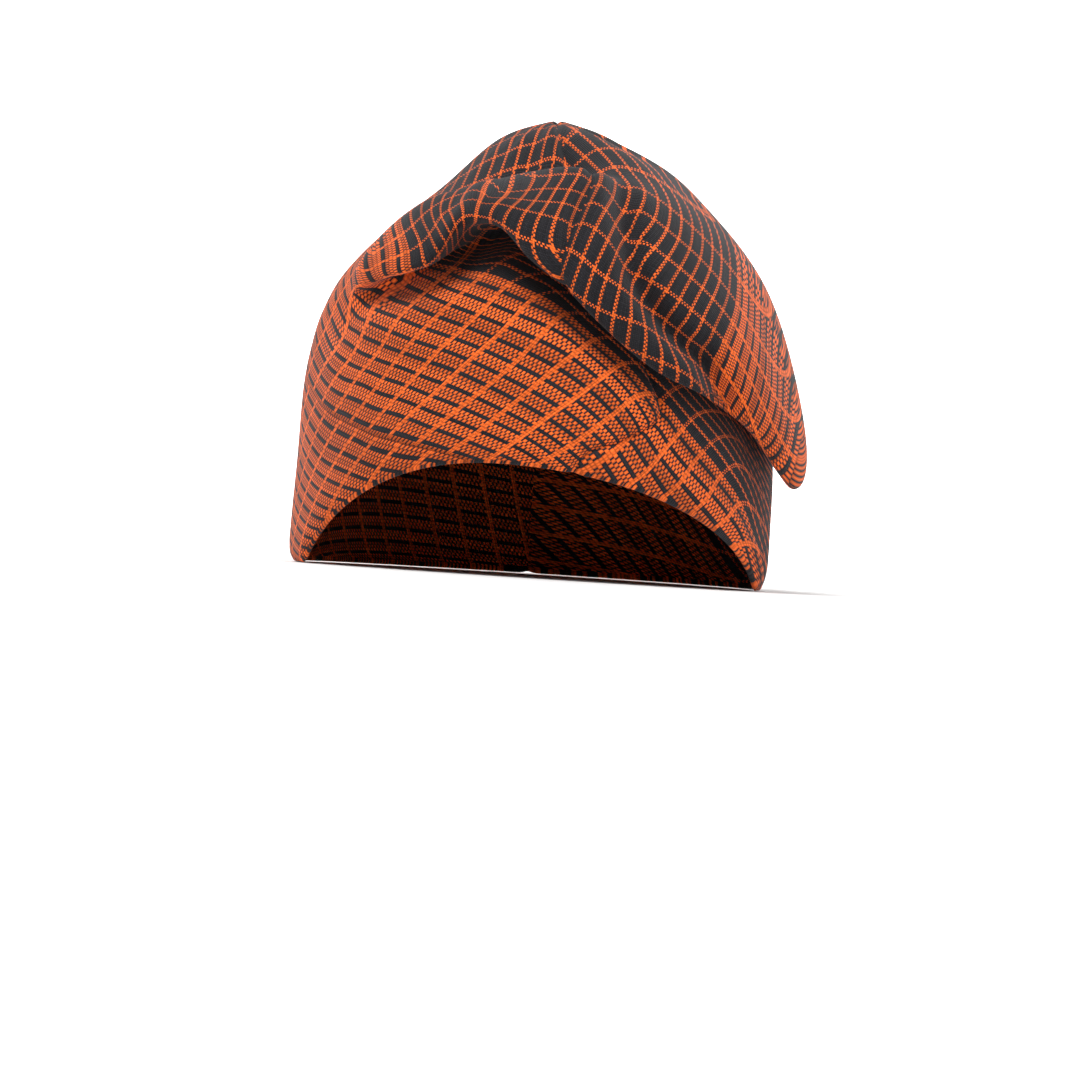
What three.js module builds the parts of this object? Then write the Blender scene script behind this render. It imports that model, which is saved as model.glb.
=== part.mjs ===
// A soft woven cap with a tall crown that is folded forward and drooped to one side.
// Two cloth panels, sewn along one line that runs from the front rim over the crown.
// Millimetres, +Z up, the front of the cap toward -Y, the drooping tip toward +X.

import * as THREE from 'three';

// Driving sizes. The sections below are drawn at one girth, and the cap is made at another.
const GIRTH = 568; // round the inside of the hem, a usual adult size
const DRAWN_GIRTH = 541;
const SIZE = GIRTH / DRAWN_GIRTH;
const WALL = 2.0; // cloth and its turned hem
const SEAM_GAP = 0.4; // between the two panels

// Drawn sizes
const RIM_RADIUS = 76.5; // half the width of the opening at the rim
const HEM_RADIUS = 78.3; // half the width just above the rim
const HEM_HEIGHT = 7;
const DEPTH_OVER_WIDTH = 1.25; // a head is longer than it is wide
const PEAK = new THREE.Vector3(0.4, 20, 152);

// The front rim stands in an arch over the forehead. Turns are degrees from the front, + to the right.
const ARCH = { rise: 34.5, turn: -9, left: 61, right: 85, ease: 1.5 };

// The middle of the whole cap, measured from the middle of the rim
const MIDDLE = new THREE.Vector3(4.97, -2.7, 0);

// How broadly the cloth turns round the lower edge of the fold
const LIP_LEVEL = 5;
const LIP_ROUND = 14;

// One row for each upright section through the cap, with the half width (R) and height (Z) of
// its band (belly, brow), the fold (tuck, lip, face, ridge), the dip behind it and the back hump.
const SECTION_COLUMNS = ['turn', 'bellyR', 'bellyZ', 'browR', 'browZ', 'tuckR', 'tuckZ', 'lipR', 'lipZ',
  'faceR', 'faceZ', 'ridgeR', 'ridgeZ', 'dipR', 'dipZ', 'humpR', 'humpZ'];
const SECTIONS = [
  [-180, 78.5, 32, 78, 60, 77, 75, 75, 87, 71, 98, 60, 118, 42, 136, 21, 148],
  [-140, 78.5, 32, 78, 60, 77, 75, 75, 87, 70, 97, 59, 116, 41, 133, 20, 147],
  [-110, 78, 32, 77, 60, 75.5, 77, 73, 86, 68, 96, 56, 112, 38, 128, 19, 145],
  [-85, 77.5, 34, 77, 57, 75, 72, 72, 83, 66, 95, 53, 110, 37, 124, 19, 143],
  [-70, 77.5, 36, 77, 60, 74.5, 76, 71.5, 86, 66, 97, 53, 111, 37, 123, 19, 142],
  [-60, 77.5, 40, 77, 64, 73, 80, 71.5, 88, 69, 97, 55, 112, 38, 122, 19, 142],
  [-52, 77.5, 45, 76, 70, 69, 86, 74, 89, 73, 98, 57, 114, 39, 121, 19, 142],
  [-42, 77.5, 50, 75.5, 75, 64, 94, 75, 91, 74, 101, 57, 118, 40, 120, 19, 142],
  [-33, 77.5, 54, 74.5, 80, 59, 100, 75.5, 93, 74, 104, 57, 120, 40, 120, 19, 143],
  [-27, 77.5, 57, 74, 82, 55, 103, 75, 97, 73, 108, 56, 122, 40, 120, 19, 143],
  [-23, 77.5, 59, 73, 84, 51, 106, 72, 106, 70, 115, 54, 124, 40, 120, 19, 143],
  [-17, 78, 60, 72.5, 86, 49, 109, 73, 109, 71, 117, 52, 125, 39, 120, 19, 143],
  [-11, 78, 60, 73, 86, 51, 109, 76, 107, 74, 116, 50, 127, 39, 121, 19, 144],
  [-4, 78, 59, 74, 83, 54, 105, 79, 98, 78, 112, 52, 128, 40, 122, 19, 145],
  [4, 78, 55, 75, 77, 58, 99, 80.5, 90, 80, 108, 56, 129, 41, 123, 19, 145],
  [12, 78, 50, 76, 68, 62, 92, 81, 80, 82, 103, 60, 128, 40, 126, 19, 145],
  [25, 78, 44, 77, 59, 66, 84, 82, 67, 84, 93, 64, 122, 41, 132, 20, 145],
  [40, 78, 38, 77.5, 52, 69, 78, 83.5, 59, 85, 85, 67, 115, 43, 133, 20, 145],
  [54, 78, 30, 78, 44, 72, 71, 85, 49, 86, 72, 69, 108, 44, 131, 20, 144],
  [65, 78, 20, 78, 35, 73.5, 65, 86.5, 38, 87.5, 59, 70.5, 103, 44, 130, 19, 144],
  [77, 78.5, 17, 78, 34, 74.5, 62, 86.5, 34, 88, 55, 71.5, 100, 44, 130, 19, 144],
  [88, 78.5, 22, 78, 42, 75, 66, 84.5, 45, 85.5, 62, 71.5, 100, 44, 131, 20, 145],
  [96, 78.5, 26, 78, 48, 75, 69, 82, 58, 82.5, 72, 70.5, 102, 44, 132, 20, 145],
  [105, 78.5, 28, 78, 52, 77, 67, 78.5, 77, 77, 88, 68, 107, 43, 132, 20, 146],
  [118, 78.5, 32, 78, 58, 77, 75, 76, 85, 73, 96, 65, 113, 43, 134, 20, 147],
  [145, 78.5, 32, 78, 60, 77, 76, 75, 88, 71, 99, 61, 117, 43, 136, 21, 148],
];

// Where the join of the two panels crosses each level, from the rim to the peak
const JOIN_COLUMNS = ['level', 'turn'];
const JOIN = [
  [0, 9.5],
  [1, 12],
  [2, 22],
  [3, 30],
  [4, 18],
  [5, 4],
  [6, 5],
  [7, 12],
  [8, 12],
  [9, 4],
  [10, 0],
];

// Sunk creases of the crown, each along a run of points seen from the front, pressed in along +Y
const CREASES = [
  {
    name: 'pinch', depth: 7, width: 6, fromLevel: 5, toLevel: 7.4,
    run: [[21, 126], [24, 112], [27, 95], [36, 82], [45, 75], [51, 70]],
  },
  {
    name: 'crown_seam', depth: 1.6, width: 3.5, fromLevel: 5.6, toLevel: 7.5,
    run: [[5, 92], [6, 104], [9, 118], [13, 128]],
  },
  {
    name: 'fold_end', depth: 2.5, width: 5, fromLevel: 1.5, toLevel: 4.5,
    run: [[-66, 88], [-69, 72], [-72, 52]],
  },
];

// Steps of the mesh: between each two levels, and round each panel from the join to the back
const LEVEL_STEPS = [1, 2, 3, 3, 4, 4, 4, 3, 3, 2];
const PANEL_STEPS = { left: 47, right: 43 };
const CROWDING = { left: 1.35, right: 1.15 }; // above 1, the steps crowd toward the front join
const TOP_LEVEL = LEVEL_STEPS.length;

// Colours from the photo
const CLOTH_COLOUR = { left: 0xb9532c, right: 0x8f4a32 };
const CLOTH_ROUGHNESS = 0.9;

const column = (rows, names, name) => rows.map((row) => row[names.indexOf(name)]);

// A smooth curve through knots that need not be evenly spaced
function hermite(knots, values, at) {
  let i = 1;
  while (i < knots.length - 3 && at >= knots[i + 1]) {
    i += 1;
  }
  const slope = (j) => {
    const before = knots[j] - knots[j - 1];
    const after = knots[j + 1] - knots[j];
    const rise = (values[j] - values[j - 1]) / before;
    const next = (values[j + 1] - values[j]) / after;
    return (rise * after + next * before) / (before + after);
  };
  const span = knots[i + 1] - knots[i];
  const u = (at - knots[i]) / span;
  const v = 1 - u;
  return values[i] * v * v * (1 + 2 * u) + values[i + 1] * u * u * (1 + 2 * v)
    + span * u * v * (slope(i) * v - slope(i + 1) * u);
}

// The same curve, closed round the full turn
function aroundCurve(name) {
  const turns = column(SECTIONS, SECTION_COLUMNS, 'turn');
  const values = column(SECTIONS, SECTION_COLUMNS, name);
  const knots = [...turns.slice(-2).map((t) => t - 360), ...turns, ...turns.slice(0, 3).map((t) => t + 360)];
  const ring = [...values.slice(-2), ...values, ...values.slice(0, 3)];
  return (turn) => hermite(knots, ring, turn);
}

const SECTION_CURVES = SECTION_COLUMNS.slice(1).map(aroundCurve);

// Height of the rim: nothing at the sides and back, an arch over the forehead
function rimHeight(turn) {
  const reach = turn < ARCH.turn ? ARCH.left : ARCH.right;
  const height = ARCH.rise * (1 - ((turn - ARCH.turn) / reach) ** 2);
  if (height <= -ARCH.ease) {
    return 0;
  }
  return height >= ARCH.ease ? height : (height + ARCH.ease) ** 2 / (4 * ARCH.ease);
}

// The upright section at one turn, from the rim to the peak
function sectionPoints(turn) {
  const angle = THREE.MathUtils.degToRad(turn);
  const rim = rimHeight(turn);
  const pairs = [[RIM_RADIUS, rim], [HEM_RADIUS, rim + HEM_HEIGHT]];
  for (let k = 0; k < SECTION_CURVES.length; k += 2) {
    pairs.push([SECTION_CURVES[k](turn), SECTION_CURVES[k + 1](turn)]);
  }
  const points = pairs.map(([radius, height], level) => {
    const lean = THREE.MathUtils.clamp((level - 7) / 3, 0, 1);
    return new THREE.Vector3(
      PEAK.x * lean + radius * Math.sin(angle),
      PEAK.y * lean - DEPTH_OVER_WIDTH * radius * Math.cos(angle),
      height,
    );
  });
  points.push(PEAK.clone());
  return points;
}

// Distance from a point to a run of straight stretches, seen from the front
function distanceToRun(x, z, run) {
  let nearest = Infinity;
  for (let k = 0; k + 1 < run.length; k += 1) {
    const [ax, az] = run[k];
    const [bx, bz] = run[k + 1];
    const along = ((x - ax) * (bx - ax) + (z - az) * (bz - az)) / ((bx - ax) ** 2 + (bz - az) ** 2);
    const t = THREE.MathUtils.clamp(along, 0, 1);
    nearest = Math.min(nearest, Math.hypot(x - ax - t * (bx - ax), z - az - t * (bz - az)));
  }
  return nearest;
}

function creaseDepth(x, z, level) {
  let depth = 0;
  for (const crease of CREASES) {
    const fade = THREE.MathUtils.smoothstep(level, crease.fromLevel - 0.5, crease.fromLevel + 0.5)
      * (1 - THREE.MathUtils.smoothstep(level, crease.toLevel - 0.3, crease.toLevel + 0.5));
    if (fade > 0) {
      depth += fade * crease.depth * Math.exp(-((distanceToRun(x, z, crease.run) / crease.width) ** 2));
    }
  }
  return depth;
}

// Direction and pace of the section through one of its points. It runs level round a fold's lip.
function sectionTangent(points, i) {
  const last = points.length - 1;
  const before = points[Math.max(i - 1, 0)];
  const after = points[Math.min(i + 1, last)];
  const tangent = after.clone().sub(before).multiplyScalar(i === 0 || i === last ? 1 : 0.5);
  if (i === LIP_LEVEL) {
    const folded = THREE.MathUtils.smoothstep(before.z - points[i].z, 0, LIP_ROUND / 2);
    const outward = new THREE.Vector3(points[i].x, points[i].y, 0).setLength(LIP_ROUND);
    tangent.lerp(outward, folded);
  }
  return tangent;
}

// The outside of the cap at one turn and level
function outsidePoint(turn, level) {
  const points = sectionPoints(turn);
  const i = Math.min(Math.floor(level), points.length - 2);
  const u = level - i;
  const v = 1 - u;
  const point = points[i].clone().multiplyScalar(v * v * (1 + 2 * u))
    .addScaledVector(points[i + 1], u * u * (1 + 2 * v))
    .addScaledVector(sectionTangent(points, i), u * v * v)
    .addScaledVector(sectionTangent(points, i + 1), -u * u * v);
  if (point.y < PEAK.y) {
    point.y += creaseDepth(point.x, point.z, level);
  }
  return point.sub(MIDDLE).multiplyScalar(SIZE);
}

const joinTurn = (level) => {
  const levels = column(JOIN, JOIN_COLUMNS, 'level');
  const turns = column(JOIN, JOIN_COLUMNS, 'turn');
  const knots = [-1, ...levels, TOP_LEVEL + 1, TOP_LEVEL + 2];
  const padded = [2 * turns[0] - turns[1], ...turns, turns[turns.length - 1], turns[turns.length - 1]];
  return hermite(knots, padded, level);
};

// Turn of a panel's column, with part 0 at its low end and 1 at its high end
function columnTurn(side, part, level) {
  const join = joinTurn(level);
  return side === 'left'
    ? -180 + (join + 180) * (1 - (1 - part) ** CROWDING.left)
    : join + (180 - join) * part ** CROWDING.right;
}

// Outer and inner point of the cloth. Each panel is drawn in a little from both of its sewn edges.
function clothPoints(side, part, level) {
  const step = 0.02;
  const at = Math.min(level, TOP_LEVEL - step);
  const low = Math.max(0, at - step);
  const high = low + 2 * step;
  const turn = columnTurn(side, part, level);
  const across = outsidePoint(turn + step, at).sub(outsidePoint(turn - step, at));
  const upward = outsidePoint(turn, high).sub(outsidePoint(turn, low));
  const outer = outsidePoint(turn, level);
  const normal = across.clone().cross(upward).normalize();
  if (level >= TOP_LEVEL) {
    normal.set(0, 0, 1);
    outer.x += (side === 'left' ? -1 : 1) * SEAM_GAP / 2;
  } else {
    const ahead = outsidePoint(columnTurn(side, part, high), high);
    const behind = outsidePoint(columnTurn(side, part, low), low);
    const inward = ahead.sub(behind).cross(normal);
    if (level === 0) {
      inward.z = 0;
      normal.setZ(0).normalize();
    }
    outer.addScaledVector(inward.normalize(), (0.5 - part) * SEAM_GAP);
  }
  const inner = outer.clone().addScaledVector(normal, -WALL);
  return [outer, inner];
}

// Levels of the mesh rows, up to the last one below the peak
function rowLevels() {
  const levels = [];
  LEVEL_STEPS.forEach((steps, level) => {
    for (let k = 0; k < steps; k += 1) {
      levels.push(level + k / steps);
    }
  });
  return levels;
}

// One panel as a closed body: outer skin, inner skin, its two sewn edges and the rim edge
function panelGeometry(side) {
  const levels = rowLevels();
  const steps = PANEL_STEPS[side];
  const positions = [];
  const faces = [];
  const addPoint = (point) => {
    positions.push(point.x, point.y, point.z);
    return positions.length / 3 - 1;
  };
  const outer = [];
  const inner = [];
  for (const level of levels) {
    const pairs = [];
    for (let j = 0; j <= steps; j += 1) {
      pairs.push(clothPoints(side, j / steps, level));
    }
    outer.push(pairs.map(([out]) => addPoint(out)));
    inner.push(pairs.map(([, into]) => addPoint(into)));
  }
  const [peakOut, peakIn] = clothPoints(side, 0.5, TOP_LEVEL).map(addPoint);
  const quad = (a, b, c, d) => faces.push(a, b, c, a, c, d);
  const top = levels.length - 1;
  for (let i = 0; i < top; i += 1) {
    for (let j = 0; j < steps; j += 1) {
      quad(outer[i][j], outer[i][j + 1], outer[i + 1][j + 1], outer[i + 1][j]);
      quad(inner[i][j], inner[i + 1][j], inner[i + 1][j + 1], inner[i][j + 1]);
    }
    quad(outer[i][0], outer[i + 1][0], inner[i + 1][0], inner[i][0]);
    quad(outer[i][steps], inner[i][steps], inner[i + 1][steps], outer[i + 1][steps]);
  }
  for (let j = 0; j < steps; j += 1) {
    faces.push(outer[top][j], outer[top][j + 1], peakOut);
    faces.push(inner[top][j], peakIn, inner[top][j + 1]);
    quad(outer[0][j], inner[0][j], inner[0][j + 1], outer[0][j + 1]);
  }
  quad(outer[top][0], peakOut, peakIn, inner[top][0]);
  quad(outer[top][steps], inner[top][steps], peakIn, peakOut);
  const geometry = new THREE.BufferGeometry();
  geometry.setAttribute('position', new THREE.Float32BufferAttribute(positions, 3));
  geometry.setIndex(faces);
  geometry.computeVertexNormals();
  return geometry;
}

function panel(side) {
  const material = new THREE.MeshStandardMaterial({
    color: CLOTH_COLOUR[side],
    roughness: CLOTH_ROUGHNESS,
    metalness: 0,
  });
  const mesh = new THREE.Mesh(panelGeometry(side), material);
  mesh.name = `${side}_panel`;
  return mesh;
}

const cap = new THREE.Group();
cap.add(panel('left'), panel('right'));

export default cap;
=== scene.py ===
import math

import bpy
import numpy as np
from mathutils import Matrix, Vector
from mathutils.bvhtree import BVHTree


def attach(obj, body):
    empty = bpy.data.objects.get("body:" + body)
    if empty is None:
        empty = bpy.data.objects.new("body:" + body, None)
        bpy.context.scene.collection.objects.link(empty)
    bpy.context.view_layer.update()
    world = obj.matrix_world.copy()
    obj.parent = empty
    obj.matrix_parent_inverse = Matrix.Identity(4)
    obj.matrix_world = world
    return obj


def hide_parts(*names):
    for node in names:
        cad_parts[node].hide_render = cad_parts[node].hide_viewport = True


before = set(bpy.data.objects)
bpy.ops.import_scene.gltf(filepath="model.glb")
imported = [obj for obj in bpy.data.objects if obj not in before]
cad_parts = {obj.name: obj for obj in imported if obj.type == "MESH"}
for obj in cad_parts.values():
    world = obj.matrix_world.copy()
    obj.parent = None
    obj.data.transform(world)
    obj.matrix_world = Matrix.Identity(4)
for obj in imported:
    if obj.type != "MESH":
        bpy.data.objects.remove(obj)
bpy.ops.object.select_all(action="DESELECT")
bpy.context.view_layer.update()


# The camera
# It looks level along +Y from in front of the cap, a little above the surface that the cap rests
# on, and is rolled a few degrees, as in the photograph.
PICTURE = 1073  # pixels each way
LENS = 4575  # focal length in pixels
EYE = Vector((-0.0028, -1.572, 0.01386))
ROLL = math.radians(3.7)

camera_data = bpy.data.cameras.new("camera")
camera_data.sensor_width = 36
camera_data.lens = camera_data.sensor_width * LENS / PICTURE
camera_data.clip_start = 0.05
camera = bpy.data.objects.new("camera", camera_data)
bpy.context.scene.collection.objects.link(camera)
right_of_view = Vector((math.cos(ROLL), 0, math.sin(ROLL)))
top_of_view = Vector((-math.sin(ROLL), 0, math.cos(ROLL)))
ahead = Vector((0, 1, 0))
camera_turn = Matrix((right_of_view, top_of_view, -ahead)).transposed()
camera.matrix_world = Matrix.Translation(EYE) @ camera_turn.to_4x4()
bpy.context.scene.camera = camera


# The direction from the eye through a pixel of the photograph
def sight_line(x, y):
    across = (x - PICTURE / 2) / LENS
    up = (PICTURE / 2 - y) / LENS
    return (ahead + right_of_view * across + top_of_view * up).normalized()


# The left panel
# The full-height cloth at the left: a piece of hand-woven check, cut with its yarns on the slant.
# It is sewn to the right panel along one join from the front rim over the crown, and its rim is
# turned in. The crown is pushed down and folded forward, and soft creases keep the fold.

# Driving sizes, in millimetres. The sections are drawn at one girth, and the cap is another.
GIRTH = 568
DRAWN_GIRTH = 541
METRES = GIRTH / DRAWN_GIRTH / 1000  # from drawn millimetres
WALL = 2.0  # how thick the cloth is
RIM_RADIUS = 76.5  # half width at the edge of the rim, and at the upper edge of the hem
HEM_RADIUS = 78.3
HEM_HEIGHT = 7
DEPTH_OVER_WIDTH = 1.25
PEAK = (0.4, 20, 152)
ARCH = {"rise": 34.5, "turn": -9, "left": 61, "right": 85, "ease": 1.5}  # of the front rim
MIDDLE = (4.97, -2.7, 0)  # of the cap as drawn

# One row for each upright section: its turn from the front in degrees, then the half width (R) and
# height (Z) at each level of its band, fold, dip and hump
SECTION_COLUMNS = ("turn", "bellyR", "bellyZ", "browR", "browZ", "tuckR", "tuckZ", "lipR", "lipZ",
                   "faceR", "faceZ", "ridgeR", "ridgeZ", "dipR", "dipZ", "humpR", "humpZ")
SECTIONS = (
    (-180, 78.5, 32, 78, 60, 77, 75, 75, 87, 71, 98, 60, 118, 42, 136, 21, 148),
    (-140, 78.5, 32, 78, 60, 77, 75, 75, 87, 70, 97, 59, 116, 41, 133, 20, 147),
    (-110, 78, 32, 77, 60, 75.5, 77, 73, 86, 68, 96, 56, 112, 38, 128, 19, 145),
    (-85, 77.5, 34, 77, 57, 75, 72, 72, 83, 66, 95, 53, 110, 37, 124, 19, 143),
    (-70, 77.5, 36, 77, 60, 74.5, 76, 71.5, 86, 66, 97, 53, 111, 37, 123, 19, 142),
    (-60, 77.5, 40, 77, 64, 73, 80, 71.5, 88, 69, 97, 55, 112, 38, 122, 19, 142),
    (-52, 77.5, 45, 76, 70, 69, 86, 74, 89, 73, 98, 57, 114, 39, 121, 19, 142),
    (-42, 77.5, 50, 75.5, 75, 64, 94, 75, 91, 74, 101, 57, 118, 40, 120, 19, 142),
    (-33, 77.5, 54, 74.5, 80, 59, 100, 75.5, 93, 74, 104, 57, 120, 40, 120, 19, 143),
    (-27, 77.5, 57, 74, 82, 55, 103, 75, 97, 73, 108, 56, 122, 40, 120, 19, 143),
    (-23, 77.5, 59, 73, 84, 51, 106, 72, 106, 70, 115, 54, 124, 40, 120, 19, 143),
    (-17, 78, 60, 72.5, 86, 49, 109, 73, 109, 71, 117, 52, 125, 39, 120, 19, 143),
    (-11, 78, 60, 73, 86, 51, 109, 76, 107, 74, 116, 50, 127, 39, 121, 19, 144),
    (-4, 78, 59, 74, 83, 54, 105, 79, 98, 78, 112, 52, 128, 40, 122, 19, 145),
    (4, 78, 55, 75, 77, 58, 99, 80.5, 90, 80, 108, 56, 129, 41, 123, 19, 145),
    (12, 78, 50, 76, 68, 62, 92, 81, 80, 82, 103, 60, 128, 40, 126, 19, 145),
    (25, 78, 44, 77, 59, 66, 84, 82, 67, 84, 93, 64, 122, 41, 132, 20, 145),
    (40, 78, 38, 77.5, 52, 69, 78, 83.5, 59, 85, 85, 67, 115, 43, 133, 20, 145),
    (54, 78, 30, 78, 44, 72, 71, 85, 49, 86, 72, 69, 108, 44, 131, 20, 144),
    (65, 78, 20, 78, 35, 73.5, 65, 86.5, 38, 87.5, 59, 70.5, 103, 44, 130, 19, 144),
    (77, 78.5, 17, 78, 34, 74.5, 62, 86.5, 34, 88, 55, 71.5, 100, 44, 130, 19, 144),
    (88, 78.5, 22, 78, 42, 75, 66, 84.5, 45, 85.5, 62, 71.5, 100, 44, 131, 20, 145),
    (96, 78.5, 26, 78, 48, 75, 69, 82, 58, 82.5, 72, 70.5, 102, 44, 132, 20, 145),
    (105, 78.5, 28, 78, 52, 77, 67, 78.5, 77, 77, 88, 68, 107, 43, 132, 20, 146),
    (118, 78.5, 32, 78, 58, 77, 75, 76, 85, 73, 96, 65, 113, 43, 134, 20, 147),
    (145, 78.5, 32, 78, 60, 77, 76, 75, 88, 71, 99, 61, 117, 43, 136, 21, 148),
)

# The levels: 0 is the rim's edge, 1 the hem's, 2 to 9 are those of the rows above, and 10 is the peak
LIP_LEVEL = 5
LIP_ROUND = 14  # how widely the cloth turns over at the lip of the fold
LEAN_LEVEL = 7  # from here up the sections draw together at the peak
TOP_LEVEL = 10
TOP_GAP = 0.035  # of a level, left open at the peak

# Where the join of the two panels crosses each level: (level, turn). It runs on past both ends.
JOIN = ((-1, 7), (0, 9.5), (1, 12), (2, 22), (3, 30), (4, 18), (5, 4), (6, 5), (7, 12), (8, 12),
        (9, 4), (10, 0), (11, 0), (12, 0))

# Sunk creases of the crown: depth, width, first and last level, and a run of points (x, z)
CREASES = (
    (9, 4, 5, 7.4,
     ((21, 129), (23, 113), (26, 97), (31, 88), (38, 80), (44, 75), (49, 72), (54, 65), (59, 57))),
    (1.6, 3.5, 5.6, 7.5, ((5, 92), (6, 104), (9, 118), (13, 128))),
    (2.5, 5, 1.5, 4.5, ((-66, 88), (-69, 72), (-72, 52))),
)
CREASE_START = 0.5  # levels that a crease takes to set in, each way, and to die out
CREASE_END = (0.3, 0.5)

# Rows of the cloth mesh between each two levels, and columns across each panel
ROWS = (5, 8, 12, 14, 18, 20, 22, 16, 18, 14)
COLUMNS = {"left": 210, "right": 190}
CROWDING = {"left": 1.15, "right": 1.1}  # how much closer the columns stand near the front join
EDGE_STEPS = (0, 0.6, 1.4, 2.6, 4.2)  # millimetres from a sewn edge
SEAM_SINK = (1.5, 1.8)  # depth and width of the groove at a sewn edge
RIM_STEPS = 6  # round the turned edge of the rim
SHARP_EDGE = math.radians(50)  # a steeper edge isn't shaded smooth


# A smooth curve through values at knots
def smooth_curve(knots, values, at):
    knots, values = np.array(knots, float), np.array(values, float)
    span = np.diff(knots)
    rate = np.diff(values) / span
    slopes = np.zeros(len(knots))
    slopes[1:-1] = (rate[:-1] * span[1:] + rate[1:] * span[:-1]) / (span[:-1] + span[1:])
    i = np.clip(np.searchsorted(knots, at, side="right") - 1, 1, len(knots) - 3)
    u = (at - knots[i]) / span[i]
    v = 1 - u
    return (values[i] * v * v * (1 + 2 * u) + values[i + 1] * u * u * (1 + 2 * v)
            + span[i] * u * v * (slopes[i] * v - slopes[i + 1] * u))


def smooth_step(value, low, high):
    u = np.clip((value - low) / (high - low), 0, 1)
    return u * u * (3 - 2 * u)


# The arch of the front rim, eased into the level part of it
def rim_height(turn):
    reach = np.where(turn < ARCH["turn"], ARCH["left"], ARCH["right"])
    height = ARCH["rise"] * (1 - ((turn - ARCH["turn"]) / reach) ** 2)
    eased = (height + ARCH["ease"]) ** 2 / (4 * ARCH["ease"])
    return np.where(height <= -ARCH["ease"], 0, np.where(height >= ARCH["ease"], height, eased))


# All the section points at these turns, as an array of level, turn and coordinate
def section_points(turn):
    turns = [row[0] for row in SECTIONS]
    knots = [t - 360 for t in turns[-2:]] + turns + [t + 360 for t in turns[:3]]
    rim = rim_height(turn)
    pairs = [(RIM_RADIUS + 0 * turn, rim), (HEM_RADIUS + 0 * turn, rim + HEM_HEIGHT)]
    for k in range(1, len(SECTION_COLUMNS), 2):
        pair = []
        for column in (k, k + 1):
            values = [row[column] for row in SECTIONS]
            pair.append(smooth_curve(knots, values[-2:] + values + values[:3], turn))
        pairs.append(pair)
    angle = np.radians(turn)
    points = []
    for level, (radius, height) in enumerate(pairs):
        lean = min(max((level - LEAN_LEVEL) / (TOP_LEVEL - LEAN_LEVEL), 0), 1)
        x = PEAK[0] * lean + radius * np.sin(angle)
        y = PEAK[1] * lean - DEPTH_OVER_WIDTH * radius * np.cos(angle)
        points.append(np.stack([x, y, height], axis=-1))
    points.append(np.tile(np.array(PEAK, float), (len(turn), 1)))
    return np.array(points)


# How each section runs on through its levels; at the lip it turns outward round the fold
def section_tangents(points):
    tangents = np.empty_like(points)
    tangents[1:-1] = (points[2:] - points[:-2]) / 2
    tangents[0] = points[1] - points[0]
    tangents[-1] = points[-1] - points[-2]
    lip = points[LIP_LEVEL]
    folded = smooth_step(points[LIP_LEVEL - 1][:, 2] - lip[:, 2], 0, LIP_ROUND / 2)[:, None]
    outward = lip * (1, 1, 0)
    outward *= LIP_ROUND / np.linalg.norm(outward, axis=1, keepdims=True)
    tangents[LIP_LEVEL] += (outward - tangents[LIP_LEVEL]) * folded
    return tangents


def distance_to_run(x, z, run):
    nearest = np.full(x.shape, 1e9)
    for (ax, az), (bx, bz) in zip(run, run[1:]):
        along = ((x - ax) * (bx - ax) + (z - az) * (bz - az)) / ((bx - ax) ** 2 + (bz - az) ** 2)
        t = np.clip(along, 0, 1)
        nearest = np.minimum(nearest, np.hypot(x - ax - t * (bx - ax), z - az - t * (bz - az)))
    return nearest


# The outside of the cap in metres, for arrays of turns and levels
def outside(turn, level):
    points = section_points(turn)
    tangents = section_tangents(points)
    i = np.minimum(level.astype(int), TOP_LEVEL - 1)
    each = np.arange(len(turn))
    u = (level - i)[:, None]
    v = 1 - u
    at = (points[i, each] * v * v * (1 + 2 * u) + points[i + 1, each] * u * u * (1 + 2 * v)
          + tangents[i, each] * u * v * v - tangents[i + 1, each] * u * u * v)
    front = at[:, 1] < PEAK[1]
    for depth, width, first, last, run in CREASES:
        fade = smooth_step(level, first - CREASE_START, first + CREASE_START)
        fade = fade * (1 - smooth_step(level, last - CREASE_END[0], last + CREASE_END[1]))
        near = np.exp(-(distance_to_run(at[:, 0], at[:, 2], run) / width) ** 2)
        at[:, 1] += front * fade * depth * near
    return (at - MIDDLE) * METRES


# Turns and levels of a panel's mesh, one row for each level up to the last below the peak
def panel_grid(side):
    levels = np.concatenate([level + np.arange(steps) / steps for level, steps in enumerate(ROWS)])
    levels = np.append(levels, TOP_LEVEL - TOP_GAP)
    join = smooth_curve(*zip(*JOIN), levels)
    half_round = math.pi * RIM_RADIUS * (1 + DEPTH_OVER_WIDTH) / 2
    edge = np.array(EDGE_STEPS) / half_round
    middle = np.linspace(edge[-1], 1 - edge[-1], COLUMNS[side] - 2 * len(edge) + 3)[1:-1]
    part = np.concatenate([edge, middle, 1 - edge[::-1]])
    if side == "left":
        turn = -180 + (join[:, None] + 180) * (1 - (1 - part) ** CROWDING[side])
    else:
        turn = join[:, None] + (180 - join[:, None]) * part ** CROWDING[side]
    return turn, np.repeat(levels[:, None], len(part), axis=1)


def grid_normals(grid):
    across = np.gradient(grid, axis=1)
    upward = np.gradient(grid, axis=0)
    normal = np.cross(across, upward)
    return normal / np.linalg.norm(normal, axis=-1, keepdims=True)


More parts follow.
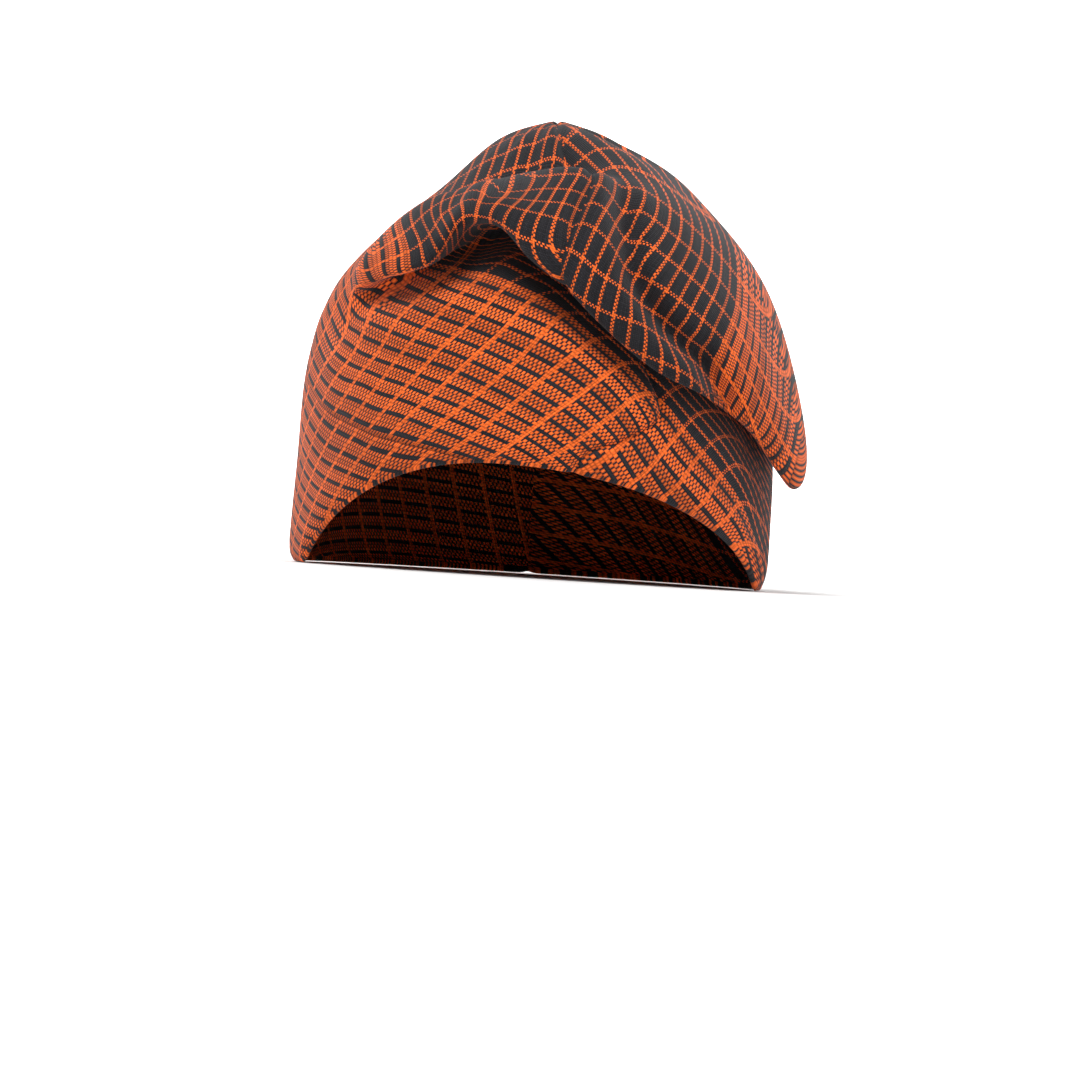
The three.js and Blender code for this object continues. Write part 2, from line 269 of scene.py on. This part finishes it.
# The outer and inner skin of one panel, as grids of points
def panel_skins(side):
    turn, level = panel_grid(side)
    outer = outside(turn.ravel(), level.ravel()).reshape(turn.shape + (3,))
    normal = grid_normals(outer)
    steps = np.linalg.norm(np.diff(outer, axis=1), axis=-1)
    from_start = np.concatenate([np.zeros((len(steps), 1)), np.cumsum(steps, axis=1)], axis=1)
    from_edge = np.minimum(from_start, from_start[:, -1:] - from_start)
    depth, width = SEAM_SINK
    sink = depth / 1000 * np.exp(-(from_edge / (width / 1000)) ** 2)
    outer = outer - normal * sink[..., None]
    inner = outer - normal * (WALL / 1000)
    return outer, inner


# The corners of each face of a grid of points, which are counted row by row
def grid_faces(rows, columns):
    index = np.arange(rows * columns).reshape(rows, columns)
    corners = (index[:-1, :-1], index[:-1, 1:], index[1:, 1:], index[1:, :-1])
    return np.stack(corners, axis=-1).reshape(-1, 4)


# A closed cloth shell from two skins, with a turned edge at the rim
def panel_mesh(name, outer, inner, counts):
    columns = outer.shape[1]
    start = 1  # the rows below this are replaced by the turned edge
    middle = (outer[start] + inner[start]) / 2
    reach = (outer[start] - inner[start]) / 2
    down = (outer[0] + inner[0] - outer[start] - inner[start]) / 2
    angles = np.linspace(0, math.pi, RIM_STEPS + 1)[1:-1]
    edge_rows = [middle + reach * math.cos(a) + down * math.sin(a) for a in angles]
    # round the section: down the inner skin, round the rim's edge, up the outer skin
    ring = np.array([*inner[:start - 1:-1], *edge_rows[::-1], *outer[start:]])
    edge_counts = [counts[start]] * len(edge_rows)
    count_ring = np.array([*counts[:start - 1:-1], *edge_counts, *counts[start:]])
    total = len(ring)
    faces = grid_faces(total, columns).tolist()
    index = np.arange(total * columns).reshape(total, columns)
    # the sewn edges, where the two skins meet
    for j, order in ((0, 1), (columns - 1, -1)):
        loop = index[:, j]
        for k in range((total - 1) // 2):
            face = [int(loop[k]), int(loop[k + 1]), int(loop[total - 2 - k]), int(loop[total - 1 - k])]
            face = list(dict.fromkeys(face))
            faces.append(face[::order])
    # the small end at the peak
    top = [int(i) for i in index[-1]] + [int(i) for i in index[0][::-1]]
    faces.append(top[::-1])
    mesh = bpy.data.meshes.new(name)
    mesh.from_pydata(ring.reshape(-1, 3).tolist(), [], faces)
    mesh.validate()
    flat_counts = count_ring.reshape(-1, 2)
    uv = mesh.uv_layers.new(name="yarns")
    corner = np.empty(len(mesh.loops), int)
    mesh.loops.foreach_get("vertex_index", corner)
    uv.data.foreach_set("uv", flat_counts[corner].ravel())
    piece = bpy.data.objects.new(name, mesh)
    bpy.context.scene.collection.objects.link(piece)
    bpy.context.view_layer.objects.active = piece
    piece.select_set(True)
    bpy.ops.object.mode_set(mode="EDIT")
    bpy.ops.mesh.select_all(action="SELECT")
    bpy.ops.mesh.normals_make_consistent(inside=False)
    bpy.ops.object.mode_set(mode="OBJECT")
    bpy.ops.object.shade_smooth_by_angle(angle=SHARP_EDGE)
    piece.select_set(False)
    return piece


# Flattens a skin as the cloth lay before it was sewn, in millimetres
def lay_flat(outer):
    rows, columns = outer.shape[:2]
    mesh = bpy.data.meshes.new("flat")
    mesh.from_pydata(outer.reshape(-1, 3).tolist(), [], grid_faces(rows, columns).tolist())
    mesh.uv_layers.new(name="flat")
    cloth = bpy.data.objects.new("flat", mesh)
    bpy.context.scene.collection.objects.link(cloth)
    bpy.context.view_layer.objects.active = cloth
    cloth.select_set(True)
    bpy.ops.object.mode_set(mode="EDIT")
    bpy.ops.mesh.select_all(action="SELECT")
    bpy.ops.uv.unwrap(method="ANGLE_BASED", margin=0)
    bpy.ops.object.mode_set(mode="OBJECT")
    corner = np.empty(len(mesh.loops), int)
    mesh.loops.foreach_get("vertex_index", corner)
    uv = np.empty(len(mesh.loops) * 2)
    mesh.uv_layers["flat"].data.foreach_get("uv", uv)
    flat = np.empty((rows * columns, 2))
    flat[corner] = uv.reshape(-1, 2)
    bpy.data.objects.remove(cloth)
    flat = flat.reshape(rows, columns, 2)
    across = np.linalg.norm(np.diff(flat, axis=1), axis=-1).sum()
    real = np.linalg.norm(np.diff(outer, axis=1), axis=-1).sum()
    return flat * real / across * 1000


# A smooth sheet through the values read at some places: thin-plate spline
def fair_sheet(where, values, at, slack):
    def kernel(a, b):
        square = ((a[:, None] - b[None]) ** 2).sum(-1)
        return square * np.log(square + 1e-9)
    scale = np.ptp(where, axis=0).max()
    where, at = where / scale, at / scale
    n = len(where)
    plane = np.column_stack([np.ones(n), where])
    system = np.zeros((n + 3, n + 3))
    system[:n, :n] = kernel(where, where) + slack * np.eye(n)
    system[:n, n:] = plane
    system[n:, :n] = plane.T
    weights = np.linalg.solve(system, np.append(values, np.zeros(3)))
    return kernel(at, where) @ weights[:n] + np.column_stack([np.ones(len(at)), at]) @ weights[n:]


# The bright cross stripes that the photograph shows: the stripe, then pixels along it. A stripe that
# goes out of sight in a fold has a row for each stretch.
LEFT_STRIPES = (
    (-8, (511, 131), (526, 126), (538, 124), (549, 121)),
    (-7, (467, 166), (481, 161), (494, 156), (507, 152), (520, 147), (534, 144), (547, 137), (560, 136)),
    (-6, (516, 167), (527, 166), (540, 162), (554, 157), (567, 154)),
    (-5, (481, 182), (494, 181), (504, 180), (520, 178), (538, 176), (553, 175), (568, 174)),
    (-4, (494, 195), (500, 193), (515, 191), (529, 190), (543, 188), (555, 189), (567, 189)),
    (-3, (364, 261), (373, 256), (384, 247), (394, 238), (404, 233), (408, 229), (413, 225), (417, 221)),
    (-3, (534, 201), (548, 202), (564, 203)),
    (-2, (394, 261), (404, 254), (413, 250), (419, 248), (428, 238), (433, 229), (436, 224), (441, 212)),
    (-2, (464, 197), (480, 198), (496, 202), (508, 205), (525, 210), (540, 213), (556, 218), (567, 221)),
    (-1, (330, 357), (339, 345), (345, 334), (348, 320), (350, 305), (351, 293), (354, 288), (359, 285)),
    (-1, (384, 275), (401, 270), (414, 268), (427, 264), (442, 257)),
    (-1, (518, 238), (534, 240), (547, 246), (560, 253)),
    (0, (408, 283), (400, 288), (390, 291), (380, 299), (370, 310), (365, 326), (359, 343), (350, 359)),
    (0, (338, 372), (327, 392), (324, 399)),
    (1, (456, 266), (440, 279), (428, 290), (409, 308), (398, 318), (391, 329), (385, 342), (377, 355)),
    (1, (364, 368), (353, 382), (343, 398)),
    (2, (484, 274), (467, 289), (450, 304), (433, 320), (416, 337), (402, 353), (390, 366), (361, 407)),
    (3, (512, 283), (493, 299), (475, 317), (458, 333), (440, 348), (424, 367), (398, 396), (371, 426)),
    (4, (538, 295), (510, 322), (482, 348), (462, 367), (435, 393), (414, 411), (392, 434)),
    (5, (567, 314), (545, 332), (515, 362), (480, 392), (450, 415), (428, 434), (417, 444)),
    (6, (594, 339), (582, 348), (568, 360), (551, 371), (525, 393), (493, 420), (471, 437), (455, 448)),
    (7, (624, 362), (611, 371), (595, 382), (573, 399), (553, 413), (520, 438), (487, 460)),
    (8, (651, 384), (635, 397), (618, 411), (595, 427), (573, 444), (550, 457), (533, 467)),
)
# The lengthwise yarns that stand out, the same way: the yarn's count, then pixels along it
LEFT_YARNS = (
    (-9, (314, 433), (327, 445), (341, 452), (355, 459), (373, 467)),
    (-4, (320, 422), (345, 437), (364, 444), (382, 452), (402, 458)),
    (-0.5, (320, 406), (338, 418), (360, 428), (380, 436), (405, 444)),
    (1, (330, 405), (344, 412), (362, 422), (383, 427), (406, 434), (438, 445), (466, 456)),
    (11, (323, 358), (331, 370), (344, 378), (363, 386), (382, 394), (434, 413), (463, 424), (527, 452)),
    (21, (337, 332), (349, 344), (364, 354), (382, 361), (401, 368), (432, 379), (489, 404), (545, 434)),
    (26, (355, 331), (372, 341), (392, 348), (414, 357), (443, 366), (470, 378), (503, 393), (530, 408)),
    (31, (358, 317), (378, 327), (399, 335), (428, 345), (542, 396)),
    (41, (372, 290), (396, 301), (423, 312), (453, 322), (482, 332), (508, 343), (540, 358)),
    (56, (455, 277), (487, 286), (514, 297), (537, 307)),
    (60, (459, 265), (484, 274), (512, 283), (540, 296), (568, 313), (596, 338), (624, 361), (662, 397)),
    (60, (403, 215), (403, 230), (407, 243), (410, 254), (412, 264)),
    (65, (493, 263), (520, 274), (549, 284)),
    (65, (413, 213), (412, 222), (417, 234), (420, 244), (424, 260)),
    (71, (503, 252), (530, 264), (552, 272)),
    (71, (423, 210), (423, 222), (429, 231), (434, 243), (439, 253)),
    (77, (430, 197), (429, 205), (434, 217), (440, 232), (446, 244)),
    (77, (467, 167),),
    (83, (441, 207), (443, 220), (448, 232)),
    (83, (459, 188), (481, 158), (478, 170)),
    (89, (448, 210), (473, 189), (495, 148), (493, 163), (488, 175)),
    (95, (461, 205), (464, 213), (487, 188), (494, 180), (503, 166), (507, 152), (510, 136)),
    (101, (476, 206), (479, 215), (502, 186), (510, 177), (517, 160), (520, 149), (524, 132)),
    (107, (491, 210), (491, 217), (505, 197), (517, 185), (525, 177), (528, 161), (534, 144), (536, 131)),
    (113, (506, 213), (504, 225), (505, 232), (519, 201), (529, 189), (534, 181), (541, 159), (549, 130)),
    (119, (521, 220), (518, 238), (534, 201), (543, 188), (549, 180), (554, 157), (557, 141)),
    (125, (537, 220), (533, 238), (535, 255), (548, 202), (557, 186), (563, 177), (565, 159)),
    (131, (553, 226), (548, 244), (547, 255), (564, 203), (571, 189), (578, 178), (575, 168)),
)
STRIPE_EVERY = 11  # yarns from one cross stripe to the next
STRIPE_MIDDLE = 1  # yarns from the edge of a cross stripe to its middle

LEFT_SLACK = 0.002  # how far the yarns may run beside their readings, to run smoothly
FACING = 0.32  # cosine: where the cloth turns further away from the camera, a reading isn't used
STRAY = (24, 10)  # yarns: readings further than this from a fit are left out of the next


# Yarn counts over a panel: each pixel of the tables is followed from the camera to the cloth, and a
# smooth sheet is laid through the counts found on the flat cloth
def yarn_counts(outer, stripes, yarns, slack):
    flat = lay_flat(outer)
    rows, columns = outer.shape[:2]
    quads = grid_faces(rows, columns)
    points = outer.reshape(-1, 3)
    tree = BVHTree.FromPolygons(points.tolist(), quads.tolist())
    places = flat.reshape(-1, 2)

    # the place on the flat cloth that a pixel shows
    def place_of(x, y):
        hit, normal, face, distance = tree.ray_cast(EYE, sight_line(x, y))
        if hit is None or abs(normal.dot(sight_line(x, y))) < FACING:
            return None
        corners = quads[face]
        weight = 1 / (np.linalg.norm(points[corners] - np.array(hit), axis=1) + 1e-6)
        return (places[corners] * weight[:, None]).sum(0) / weight.sum()

    counts = []
    for table, step, start in ((stripes, STRIPE_EVERY, STRIPE_MIDDLE), (yarns, 1, 0)):
        where, values = [], []
        for number, *run in table:
            for x, y in run:
                place = place_of(x, y)
                if place is not None:
                    where.append(place)
                    values.append(number * step + start)
        where, values = np.array(where), np.array(values, float)
        for limit in STRAY:
            near = np.abs(fair_sheet(where, values, where, slack) - values) < limit
            where, values = where[near], values[near]
        counts.append(fair_sheet(where, values, places, slack))
    return np.stack(counts, axis=-1).reshape(rows, columns, 2)


left_outer, left_inner = panel_skins("left")
left_counts = yarn_counts(left_outer, LEFT_STRIPES, LEFT_YARNS, LEFT_SLACK)
left_cloth = panel_mesh("left_panel_cloth", left_outer, left_inner, left_counts)

# Colours of the yarns
ORANGE = (0.92, 0.15, 0.022, 1)
CHARCOAL = (0.019, 0.018, 0.021, 1)


# One step of arithmetic in a material, on numbers or on the outputs of other nodes
def math_node(tree, operation, *inputs, clamp=False):
    node = tree.nodes.new("ShaderNodeMath")
    node.operation = operation
    node.use_clamp = clamp
    for socket, value in zip(node.inputs, inputs):
        if isinstance(value, (int, float)):
            socket.default_value = value
        else:
            tree.links.new(value, socket)
    return node.outputs[0]


# Two colours of a material put together
def mixed(tree, factor, first, second, blend="MIX"):
    node = tree.nodes.new("ShaderNodeMix")
    node.data_type = "RGBA"
    node.blend_type = blend
    for socket, value in ((node.inputs[0], factor), (node.inputs[6], first), (node.inputs[7], second)):
        if hasattr(value, "links"):
            tree.links.new(value, socket)
        else:
            socket.default_value = value
    return node.outputs[2]


# Plain weave of coloured yarns: takes the two yarn counts, gives the colour, with painted shade at the
# yarns' edges, and the height of the cloth.
# The first count is of cross yarns, and each orange stripe of them is two of fifteen fine yarns. The
# second is of lengthwise yarns: three thick orange ones to one charcoal, and in the dark stripe two
# fine orange ones to seven.
FINE_CROSS = 15  # fine cross yarns from one stripe to the next
ORANGE_CROSS = 2  # of them in a stripe
DARK_FROM = 60  # first and last lengthwise yarn of the dark stripe, in counts
DARK_TO = 142
THICK_START = 0.375  # count at the edge of a thick lengthwise yarn, and thick yarns to a count
THICK_TO_COUNT = 0.8
THICK_REPEAT = 4  # thick yarns from one charcoal yarn to the next
FINE_START = 0.5  # fine lengthwise yarns before count 0, and fine yarns to a count
FINE_TO_COUNT = 1.5
FINE_REPEAT = 9  # fine yarns from one orange pair to the next
ORANGE_FINE = 2
CROSS_WIDTH = 0.70  # of a cross yarn, in the space that it has
LENGTHWISE_WIDTH = 0.94
ROUNDNESS = 0.9  # of a yarn: at 1 its edges lie at no height at all
STRIP_JOIN = -0.5  # count where the narrow strips of the cloth are sewn to each other
STRIP_SHIFT = 6  # cross yarns that the next strip is out of step
NO_JOIN = -1000.0  # a count that a panel without such a join never reaches
SEAM_REACH = 0.6  # counts either side of the join that lie in its shade
SEAM_SHADE = 0.45
YARN_PAINTED_SHADE = (0.62, 0.42)  # painted shade: lightness that a yarn's height adds, so it is darker at its edges, and lightness that every yarn has
YARN_SPREAD = (0.44, -0.2)  # range in which the yarns differ in lightness, and its lower end


def weave_group():
    tree = bpy.data.node_groups.new("weave", "ShaderNodeTree")
    face = tree.interface
    face.new_socket("Counts", in_out="INPUT", socket_type="NodeSocketVector")
    face.new_socket("Strip join", in_out="INPUT", socket_type="NodeSocketFloat")
    face.new_socket("Colour", in_out="OUTPUT", socket_type="NodeSocketColor")
    face.new_socket("Height", in_out="OUTPUT", socket_type="NodeSocketFloat")
    into = tree.nodes.new("NodeGroupInput")
    out = tree.nodes.new("NodeGroupOutput")
    split = tree.nodes.new("ShaderNodeSeparateXYZ")
    tree.links.new(into.outputs["Counts"], split.inputs[0])
    join = into.outputs["Strip join"]

    def maths(operation, *inputs, clamp=False):
        return math_node(tree, operation, *inputs, clamp=clamp)

    # a counts the cross yarns and b the lengthwise ones, each yarn from one whole number to the next
    b = split.outputs[1]
    a = maths("MULTIPLY_ADD", maths("LESS_THAN", b, join), -STRIP_SHIFT, split.outputs[0])
    cross_to_count = FINE_CROSS / STRIPE_EVERY
    a = maths("MULTIPLY_ADD", a, cross_to_count, STRIPE_MIDDLE * (1.0 - cross_to_count))
    dark = maths("MULTIPLY", maths("GREATER_THAN", b, DARK_FROM), maths("LESS_THAN", b, DARK_TO))
    checked = maths("SUBTRACT", 1.0, dark)
    seam = maths("LESS_THAN", maths("ABSOLUTE", maths("SUBTRACT", b, join)), SEAM_REACH)
    thick = maths("MULTIPLY", maths("SUBTRACT", b, THICK_START), THICK_TO_COUNT)
    fine = maths("MULTIPLY_ADD", b, FINE_TO_COUNT, FINE_START)
    b = maths("ADD", maths("MULTIPLY", dark, fine), maths("MULTIPLY", checked, thick))
    whole_a, whole_b = maths("FLOOR", a), maths("FLOOR", b)
    off_a = maths("ABSOLUTE", maths("SUBTRACT", maths("FRACT", a), 0.5))
    off_b = maths("ABSOLUTE", maths("SUBTRACT", maths("FRACT", b), 0.5))
    a_over = maths("LESS_THAN", maths("FLOORED_MODULO", maths("ADD", whole_a, whole_b), 2.0), 0.5)
    b_over = maths("SUBTRACT", 1.0, a_over)
    in_stripe = maths("FLOORED_MODULO", whole_a, FINE_CROSS)
    orange_a = maths("LESS_THAN", in_stripe, ORANGE_CROSS - 0.5)
    a_seen = maths("ADD", maths("MULTIPLY", a_over, maths("LESS_THAN", off_a, CROSS_WIDTH / 2)),
                   maths("MULTIPLY", b_over, maths("GREATER_THAN", off_b, LENGTHWISE_WIDTH / 2)))
    many = maths("GREATER_THAN", maths("FLOORED_MODULO", whole_b, THICK_REPEAT), 0.5)
    in_repeat = maths("FLOORED_MODULO", whole_b, FINE_REPEAT)
    few = maths("GREATER_THAN", in_repeat, FINE_REPEAT - ORANGE_FINE - 0.5)
    # an orange cross yarn floats over the thick charcoal ones
    floats = maths("MULTIPLY", orange_a, maths("SUBTRACT", 1.0, maths("ADD", many, dark), clamp=True))
    a_seen = maths("MAXIMUM", a_seen, floats)
    orange_b = maths("ADD", maths("MULTIPLY", dark, few), maths("MULTIPLY", checked, many))
    orange = maths("ADD", maths("MULTIPLY", a_seen, orange_a),
                   maths("MULTIPLY", maths("SUBTRACT", 1.0, a_seen), orange_b))
    round_a = maths("COSINE", maths("MULTIPLY", off_a, math.pi * ROUNDNESS))
    round_b = maths("COSINE", maths("MULTIPLY", off_b, math.pi * ROUNDNESS))
    height = maths("MULTIPLY", round_a, round_b)
    # each yarn is a little lighter or darker than the next
    yarn = tree.nodes.new("ShaderNodeCombineXYZ")
    tree.links.new(maths("MULTIPLY", whole_a, a_seen), yarn.inputs[0])
    tree.links.new(maths("MULTIPLY", whole_b, maths("SUBTRACT", 1.0, a_seen)), yarn.inputs[1])
    spread = tree.nodes.new("ShaderNodeTexWhiteNoise")
    spread.noise_dimensions = "3D"
    tree.links.new(yarn.outputs[0], spread.inputs["Vector"])
    # painted shade: each yarn is darker towards its edges, where it turns down, on top of its own random
    # tone
    light = maths("ADD", maths("MULTIPLY_ADD", height, *YARN_PAINTED_SHADE),
                  maths("MULTIPLY_ADD", spread.outputs["Value"], *YARN_SPREAD))
    light = maths("MULTIPLY", light, maths("MULTIPLY_ADD", seam, -SEAM_SHADE, 1.0))
    grey = tree.nodes.new("ShaderNodeCombineColor")
    for socket in grey.inputs:
        tree.links.new(light, socket)
    colour = mixed(tree, orange, CHARCOAL, ORANGE)
    tree.links.new(mixed(tree, 1.0, colour, grey.outputs[0], "MULTIPLY"), out.inputs["Colour"])
    tree.links.new(height, out.inputs["Height"])
    return tree


weave = weave_group()
BUMP = {"Strength": 0.5, "Distance": 0.0003}
FINISH = {"Roughness": 0.9, "Specular IOR Level": 0.15, "Sheen Weight": 0.08, "Sheen Roughness": 0.5}


# The woven cloth of one panel
def cloth_material(name, strip_join):
    material = bpy.data.materials.new(name)
    material.use_nodes = True
    tree = material.node_tree
    shader = tree.nodes["Principled BSDF"]
    yarns = tree.nodes.new("ShaderNodeUVMap")
    yarns.uv_map = "yarns"
    group = tree.nodes.new("ShaderNodeGroup")
    group.node_tree = weave
    group.inputs["Strip join"].default_value = strip_join
    tree.links.new(yarns.outputs[0], group.inputs["Counts"])
    tree.links.new(group.outputs["Colour"], shader.inputs["Base Color"])
    bump = tree.nodes.new("ShaderNodeBump")
    for socket, value in BUMP.items():
        bump.inputs[socket].default_value = value
    tree.links.new(group.outputs["Height"], bump.inputs["Height"])
    tree.links.new(bump.outputs[0], shader.inputs["Normal"])
    for socket, value in FINISH.items():
        shader.inputs[socket].default_value = value
    return material


left_cloth.data.materials.append(cloth_material("left_check", STRIP_JOIN))
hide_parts("left_panel")
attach(left_cloth, "root")


# The right panel
# The full-height cloth at the right, of the same hand-woven check. It holds the drooping tip, is
# sewn to the left panel along the join, and its rim is turned in too.

# Its cross stripes and lengthwise yarns, from the rim to the tip
RIGHT_STRIPES = (
    (-2, (757, 393), (764, 405), (771, 417), (778, 428), (784, 440), (787, 452), (787, 470)),
    (-3, (777, 408), (783, 420), (789, 432)),
    (2, (682, 384), (697, 387), (711, 387)),
    (1, (627, 346), (636, 352), (645, 357), (661, 359), (676, 358)),
    (0, (561, 277), (575, 288), (587, 300), (600, 310), (614, 317), (629, 322), (645, 325), (659, 328)),
    (-1, (573, 245), (585, 256), (593, 272), (601, 283), (614, 292), (629, 296), (641, 297)),
    (-1, (662, 320), (671, 333), (682, 343), (697, 346), (712, 357), (733, 383), (747, 405), (753, 418)),
    (-2, (583, 218), (596, 228), (606, 243), (614, 255), (625, 264)),
    (-2, (638, 277), (654, 281), (670, 287), (687, 309), (711, 328), (729, 347), (740, 365), (750, 380)),
    (-3, (590, 201), (603, 210), (614, 222), (625, 232)),
    (-3, (638, 244), (652, 252), (680, 269), (703, 289), (724, 310), (743, 340), (758, 367), (770, 395)),
    (-4, (599, 187), (613, 193)),
    (-4, (642, 212), (667, 229), (691, 247), (710, 269), (730, 292), (751, 321), (763, 346), (769, 360)),
    (-5, (606, 174),),
    (-5, (658, 204), (681, 222), (704, 243), (727, 263), (749, 284), (759, 300), (767, 313)),
    (-6, (598, 168), (611, 163), (626, 162)),
    (-6, (684, 210), (692, 216), (705, 223), (717, 233), (727, 240)),
    (-7, (589, 153), (594, 150), (600, 148)),
    (-8, (577, 141), (583, 138), (588, 139)),
    (-9, (564, 132), (567, 129), (572, 127)),
    (6, (661, 403), (655, 411), (643, 424), (629, 441), (617, 452), (602, 463), (588, 473)),
    (7, (697, 413), (690, 420), (681, 431), (669, 444), (657, 459), (645, 470), (628, 485)),
    (8, (716, 436), (709, 443), (702, 453), (692, 466), (680, 482), (668, 494)),
    (9, (737, 451), (733, 459), (728, 468), (722, 479), (715, 490), (702, 507), (695, 514)),
    (10, (745, 493), (740, 503), (734, 510), (731, 516), (725, 527)),
    (11, (752, 527), (750, 537), (747, 545)),
    (12, (761, 559), (760, 566)),
)
RIGHT_YARNS = (
    (71, (601, 178), (594, 193), (590, 201), (583, 218), (575, 238), (573, 245), (566, 262), (561, 277)),
    (77, (596, 168), (591, 163), (587, 158), (582, 153), (577, 150), (572, 147)),
    (77, (617, 185), (613, 193), (603, 210), (596, 228), (590, 243), (585, 256), (579, 270), (575, 288)),
    (83, (572, 127), (581, 136), (600, 148), (606, 157), (611, 163), (622, 170), (630, 178), (631, 190)),
    (83, (614, 222), (606, 243), (600, 256), (593, 272), (589, 290), (587, 300)),
    (89, (622, 155), (630, 166), (640, 179), (644, 194), (645, 202), (642, 212), (635, 222)),
    (89, (625, 232), (614, 255), (607, 270), (601, 283), (600, 297), (600, 310)),
    (95, (642, 163), (649, 178), (655, 196), (657, 208), (655, 221), (648, 232), (638, 244)),
    (95, (625, 264), (620, 278), (614, 292), (613, 305), (614, 317), (612, 335)),
    (101, (661, 186), (666, 198), (669, 215), (667, 229), (661, 241), (652, 252), (645, 267), (638, 277)),
    (101, (629, 296), (629, 322), (627, 346)),
    (107, (673, 197), (680, 210), (681, 220), (680, 237), (666, 260), (658, 275), (654, 281), (647, 292)),
    (107, (645, 300), (645, 325), (645, 357)),
    (113, (690, 205), (692, 216), (693, 231), (691, 247), (680, 269), (670, 287), (660, 300)),
    (113, (659, 328), (660, 345), (661, 359)),
    (119, (705, 223), (704, 243), (700, 258), (692, 278), (678, 298), (666, 316), (674, 350), (679, 375)),
    (125, (717, 233), (715, 250), (710, 269), (703, 289), (687, 309), (671, 333), (693, 365), (697, 387)),
    (131, (728, 245), (727, 263), (720, 281), (713, 299), (698, 320), (682, 343)),
    (137, (740, 258), (738, 271), (730, 292), (724, 310), (711, 328), (697, 346)),
    (142, (747, 262), (746, 282), (738, 307), (731, 324), (718, 337), (705, 353)),
    (146, (726, 354), (734, 341)),
    (151, (733, 369), (741, 355), (752, 330), (757, 305), (759, 285)),
    (156, (743, 380), (748, 366)),
    (161, (751, 394), (757, 380), (766, 352), (772, 325), (775, 300)),
    (166, (750, 412), (760, 403), (766, 390), (771, 375), (775, 355)),
    (171, (760, 422), (772, 414), (777, 400), (781, 385)),
    (176, (764, 432), (778, 425), (783, 410)),
    (181, (771, 442), (783, 436), (788, 424)),
    (186, (775, 451), (784, 449), (790, 440)),
    (191, (774, 460), (785, 459), (791, 455)),
    (196, (776, 468), (787, 468)),
    (201, (779, 476), (787, 476)),
    (60, (662, 399), (682, 428), (694, 439), (705, 450), (715, 460), (735, 486), (749, 512), (764, 550)),
    (65, (691, 420), (700, 430), (709, 443), (720, 453), (728, 468), (740, 481), (745, 493)),
    (71, (699, 412), (705, 420), (716, 436), (724, 446), (733, 459), (742, 474), (750, 486)),
    (77, (719, 425), (727, 434), (737, 451), (745, 462), (751, 475)),
    (25, (580, 478),),
    (33, (622, 489),),
    (40, (663, 498),),
    (44, (694, 515),),
    (50, (725, 528),),
)
RIGHT_SLACK = 0.02  # more than at the left, because the tip shows fewer of its yarns

right_outer, right_inner = panel_skins("right")
right_counts = yarn_counts(right_outer, RIGHT_STRIPES, RIGHT_YARNS, RIGHT_SLACK)
right_cloth = panel_mesh("right_panel_cloth", right_outer, right_inner, right_counts)
right_cloth.data.materials.append(cloth_material("right_check", NO_JOIN))
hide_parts("right_panel")
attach(right_cloth, "root")


# The floor, the backdrop and the light
# A plain white studio: a pale floor, a white wall behind it, and one broad soft light from the upper
# left in front, with a weaker one from the right.
PALE = (0.92, 0.92, 0.92, 1)
WHITE = (1, 1, 1, 1)
SHEET_SIZE = 16  # metres
WALL_AT = 7  # metres behind the cap
SKY = 0.25  # strength of the even light from all sides



# A flat sheet of paper, turned about X
def paper_sheet(name, location, turn, material_name, finish):
    bpy.ops.mesh.primitive_plane_add(size=SHEET_SIZE, location=location, rotation=(turn, 0, 0))
    sheet = bpy.context.object
    sheet.name = name
    material = bpy.data.materials.new(material_name)
    material.use_nodes = True
    shader = material.node_tree.nodes["Principled BSDF"]
    for socket, value in finish.items():
        shader.inputs[socket].default_value = value
    sheet.data.materials.append(material)
    return sheet


floor = paper_sheet("floor", (0, 0, 0), 0, "pale_paper", {"Base Color": PALE, "Roughness": 0.9})

backdrop = paper_sheet("backdrop", (0, WALL_AT, 0), math.pi / 2, "lit_paper",
                       {"Base Color": PALE, "Emission Color": WHITE, "Emission Strength": 1.0})

world = bpy.data.worlds.new("studio")
bpy.context.scene.world = world
world.use_nodes = True
world.node_tree.nodes["Background"].inputs["Color"].default_value = WHITE
world.node_tree.nodes["Background"].inputs["Strength"].default_value = SKY
bpy.context.scene.view_settings.view_transform = "Standard"

# name, where it shines to, how wide it is in degrees, strength
LIGHTS = (
    ("key", (0.35, 0.75, -1.05), 30, 2.9),
    ("fill", (-0.8, 0.6, -0.6), 60, 0.9),
)
for name, toward, spread, power in LIGHTS:
    light_data = bpy.data.lights.new(name, "SUN")
    light_data.angle = math.radians(spread)
    light_data.energy = power
    light = bpy.data.objects.new(name, light_data)
    light.rotation_euler = Vector(toward).to_track_quat("-Z", "Y").to_euler()
    bpy.context.scene.collection.objects.link(light)
